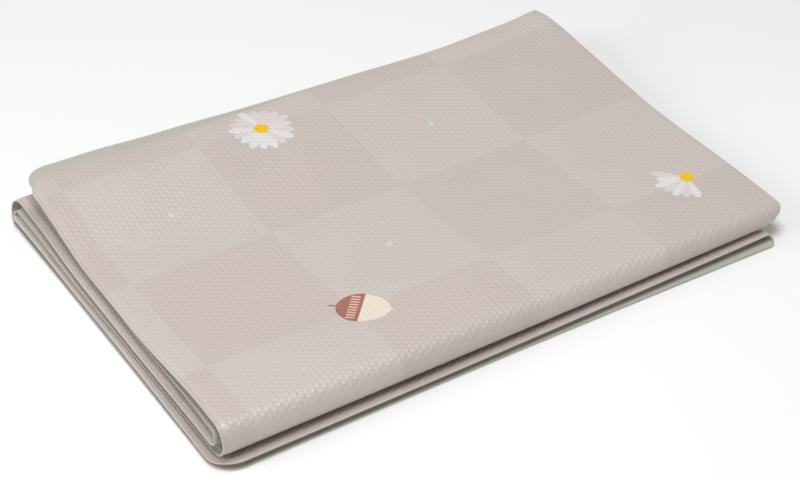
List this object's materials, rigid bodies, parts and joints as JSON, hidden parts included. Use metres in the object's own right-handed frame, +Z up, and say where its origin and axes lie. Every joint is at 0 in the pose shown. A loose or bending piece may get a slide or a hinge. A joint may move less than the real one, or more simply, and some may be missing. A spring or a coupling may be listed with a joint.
{
  "type": "folded baby play mat",
  "caption": "Padded floor mat with a printed check face and a plain back, folded in half and then back and forth into a flat stack.",
  "frame": {"origin": "centre of the bounding box's bottom face, on the surface that the folded mat lies on", "axes": "+X along the stack from the sheet's free ends to its half fold, +Y from the front bend to the back bend, +Z up"},
  "size_m": [0.7173, 0.5036, 0.0582],
  "materials": {
    "mat_sheet": "matte embossed vinyl over thin foam, beige printed face and grey-green back"
  },
  "bodies": {
    "root": {"mat": "mat_sheet"}
  },
  "joints": []
}
